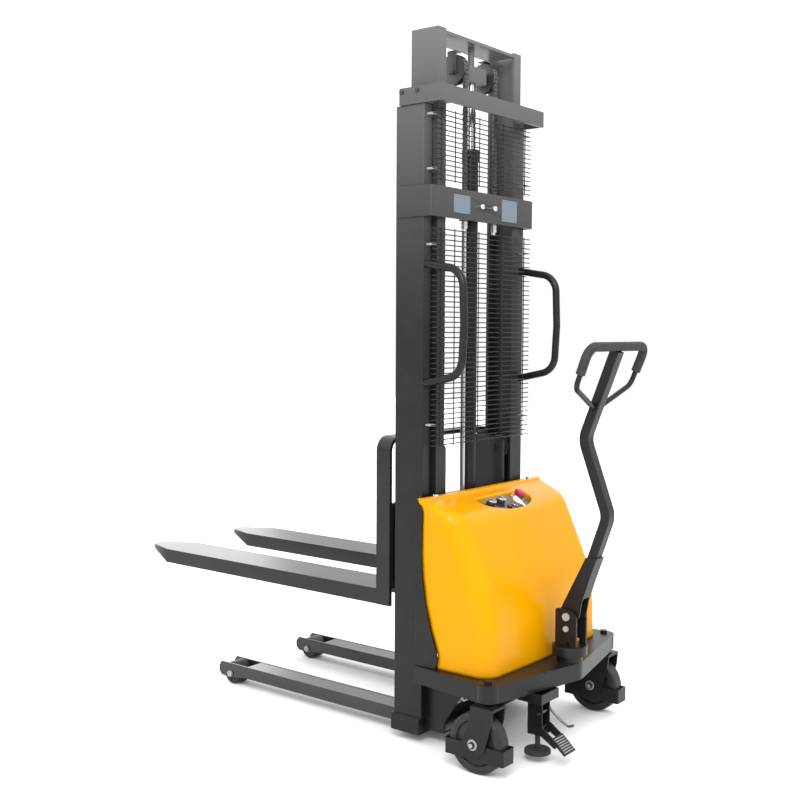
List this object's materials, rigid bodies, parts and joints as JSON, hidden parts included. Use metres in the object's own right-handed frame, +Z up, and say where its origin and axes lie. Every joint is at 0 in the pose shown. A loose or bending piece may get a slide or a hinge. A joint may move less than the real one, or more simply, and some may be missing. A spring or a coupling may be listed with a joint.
{
  "type": "walkie stacker",
  "caption": "Pedestrian stacker with a telescopic mast, lifting forks over straddle-free support legs, hooded power pack, folding tiller and swivel casters.",
  "frame": {"origin": "centre of the footprint on the floor, under the middle of the overall length and width", "axes": "+X forward to the fork tips, +Y to the operator's left when facing the forks, +Z up"},
  "size_m": [1.849, 0.786, 2.199],
  "materials": {
    "mast_paint": "satin",
    "frame_paint": "satin",
    "fork_paint": "satin",
    "cover_yellow": "gloss",
    "rubber_black": "matte",
    "wheel_nylon": "matte",
    "black_plastic": "matte",
    "pad_nylon": "matte",
    "bright_steel": "brushed",
    "chrome": "polished",
    "chain_steel": "oiled",
    "plate_metal": "satin",
    "mesh_steel": "satin",
    "battery_case": "matte",
    "motor_paint": "satin",
    "red_plastic": "gloss"
  },
  "bodies": {
    "chassis": {"platform": "frame_paint", "underframe": "frame_paint", "base_beam": "frame_paint", "support_legs": "frame_paint", "load_axles": "bright_steel", "outer_columns": "mast_paint", "top_bracket": "mast_paint", "wear_pads": "pad_nylon", "pad_screws": "bright_steel", "mid_crossbeam": "mast_paint", "data_plates": "plate_metal", "lift_cylinder": "frame_paint", "cylinder_clamp": "bright_steel", "hydraulic_pipes": "bright_steel", "chain_anchors": "bright_steel", "chain_rear_run": "chain_steel", "mesh_guard": "mesh_steel", "mesh_clips": "bright_steel", "grab_handles": "frame_paint", "side_plates": "frame_paint", "body_cover": "cover_yellow", "cover_bolts": "chrome", "control_panel": "black_plastic", "panel_fittings": "chrome", "battery": "battery_case", "power_pack": "motor_paint", "floor_lock_body": "frame_paint"},
    "inner_mast": {"inner_columns": "mast_paint", "inner_crossmembers": "mast_paint", "crosshead": "mast_paint", "piston_rod": "chrome", "sheave_axle": "bright_steel", "chain_wrap": "chain_steel"},
    "mast_roller_pair": {"mast_rollers": "bright_steel"},
    "sheave_pair": {"sheaves": "bright_steel"},
    "carriage": {"carriage_frame": "fork_paint", "fork_left": "fork_paint", "fork_right": "fork_paint", "chain_front_run": "chain_steel"},
    "carriage_rollers_top": {"carriage_rollers_upper": "bright_steel"},
    "carriage_rollers_bottom": {"carriage_rollers_lower": "bright_steel"},
    "tiller_swivel_base": {"tiller_base": "frame_paint", "tiller_pins": "bright_steel"},
    "tiller": {"tiller_arm": "frame_paint", "tiller_loop": "frame_paint", "tiller_grip": "rubber_black"},
    "caster_left": {"caster_yoke_left": "frame_paint"},
    "wheel_left": {"caster_wheel_left": "wheel_nylon"},
    "caster_right": {"caster_yoke_right": "frame_paint"},
    "wheel_right": {"caster_wheel_right": "wheel_nylon"},
    "roller_left": {"load_roller_left": "wheel_nylon"},
    "roller_right": {"load_roller_right": "wheel_nylon"},
    "lock_pedal": {"floor_lock_pedal": "frame_paint"},
    "lock_foot": {"floor_lock_foot": "rubber_black"},
    "lock_release": {"floor_lock_release": "bright_steel"},
    "lift_button": {"button_lift": "black_plastic"},
    "lower_button": {"button_lower": "black_plastic"},
    "emergency_stop": {"stop_button": "red_plastic"},
    "key_switch": {"key": "bright_steel"}
  },
  "joints": [
    {"name": "mast_lift", "type": "slide", "parent": "chassis", "child": "inner_mast", "axis": [0, 0, 1], "range_m": [-0.1875, 1.22], "deforming": ["chain_rear_run"]},
    {"name": "carriage_lift", "type": "slide", "parent": "inner_mast", "child": "carriage", "axis": [0, 0, 1], "range_m": [-0.1875, 1.22], "deforming": ["chain_front_run"]},
    {"name": "sheave_turn", "type": "hinge", "parent": "inner_mast", "child": "sheave_pair", "pos_m": [-0.3685, 0, 2.1], "axis": [0, 1, 0], "range_deg": [-1750, 300]},
    {"name": "mast_roller_turn", "type": "hinge", "parent": "inner_mast", "child": "mast_roller_pair", "pos_m": [-0.347, 0, 0.33], "axis": [0, 1, 0], "range_deg": [-300, 1700]},
    {"name": "carriage_roller_top_turn", "type": "hinge", "parent": "carriage", "child": "carriage_rollers_top", "pos_m": [-0.3635, 0, 0.888], "axis": [0, 1, 0], "range_deg": [-300, 1800]},
    {"name": "carriage_roller_bottom_turn", "type": "hinge", "parent": "carriage", "child": "carriage_rollers_bottom", "pos_m": [-0.3635, 0, 0.525], "axis": [0, 1, 0], "range_deg": [-300, 1800]},
    {"name": "tiller_swivel", "type": "hinge", "parent": "chassis", "child": "tiller_swivel_base", "pos_m": [-0.7605, 0, 0.3], "axis": [0, 0, 1], "range_deg": [-90, 90]},
    {"name": "tiller_tilt", "type": "hinge", "parent": "tiller_swivel_base", "child": "tiller", "pos_m": [-0.7665, 0, 0.411], "axis": [0, -1, 0], "range_deg": [0, 70], "stiffness_Nm_per_rad": 40, "springref_deg": -34.38},
    {"name": "caster_left_swivel", "type": "hinge", "parent": "chassis", "child": "caster_left", "pos_m": [-0.6925, 0.35, 0.2], "axis": [0, 0, 1], "continuous": true},
    {"name": "caster_left_roll", "type": "hinge", "parent": "caster_left", "child": "wheel_left", "pos_m": [-0.6625, 0.35, 0.09], "axis": [0, 1, 0], "continuous": true},
    {"name": "caster_right_swivel", "type": "hinge", "parent": "chassis", "child": "caster_right", "pos_m": [-0.6925, -0.35, 0.2], "axis": [0, 0, 1], "continuous": true},
    {"name": "caster_right_roll", "type": "hinge", "parent": "caster_right", "child": "wheel_right", "pos_m": [-0.6625, -0.35, 0.09], "axis": [0, 1, 0], "continuous": true},
    {"name": "load_roller_left_roll", "type": "hinge", "parent": "chassis", "child": "roller_left", "pos_m": [0.4935, 0.2035, 0.04], "axis": [0, 1, 0], "continuous": true},
    {"name": "load_roller_right_roll", "type": "hinge", "parent": "chassis", "child": "roller_right", "pos_m": [0.4935, -0.2035, 0.04], "axis": [0, 1, 0], "continuous": true},
    {"name": "lock_pedal_press", "type": "hinge", "parent": "chassis", "child": "lock_pedal", "pos_m": [-0.7645, 0.16, 0.104], "axis": [0, -1, 0], "range_deg": [0, 18], "stiffness_Nm_per_rad": 8, "springref_deg": -17.19},
    {"name": "lock_foot_drop", "type": "slide", "parent": "chassis", "child": "lock_foot", "axis": [0, 0, -1], "range_m": [0, 0.0215]},
    {"name": "lock_release_press", "type": "hinge", "parent": "chassis", "child": "lock_release", "pos_m": [-0.7645, 0.16, 0.15], "axis": [0, -1, 0], "range_deg": [0, 12], "stiffness_Nm_per_rad": 2, "springref_deg": -8.59},
    {"name": "lift_button_press", "type": "slide", "parent": "chassis", "child": "lift_button", "axis": [0.342, 0, -0.9397], "range_m": [0, 0.0035], "stiffness_N_per_m": 800, "springref_m": -0.003},
    {"name": "lower_button_press", "type": "slide", "parent": "chassis", "child": "lower_button", "axis": [0.342, 0, -0.9397], "range_m": [0, 0.0035], "stiffness_N_per_m": 800, "springref_m": -0.003},
    {"name": "emergency_stop_press", "type": "slide", "parent": "chassis", "child": "emergency_stop", "axis": [0.342, 0, -0.9397], "range_m": [0, 0.0045], "stiffness_N_per_m": 1200, "springref_m": -0.003},
    {"name": "key_turn", "type": "hinge", "parent": "chassis", "child": "key_switch", "pos_m": [-0.542, -0.02, 0.72316], "axis": [-0.342, 0, 0.9397], "range_deg": [0, 60]}
  ],
  "couplings": [
    {"joint": "carriage_lift", "follows": "mast_lift", "ratio": 1},
    {"joint": "sheave_turn", "follows": "mast_lift", "rad_per_m": -23.866},
    {"joint": "mast_roller_turn", "follows": "mast_lift", "rad_per_m": 23.148},
    {"joint": "carriage_roller_top_turn", "follows": "mast_lift", "rad_per_m": 24.51},
    {"joint": "carriage_roller_bottom_turn", "follows": "mast_lift", "rad_per_m": 24.51},
    {"joint": "lock_foot_drop", "follows": "lock_pedal_press", "m_per_rad": 0.0684}
  ]
}
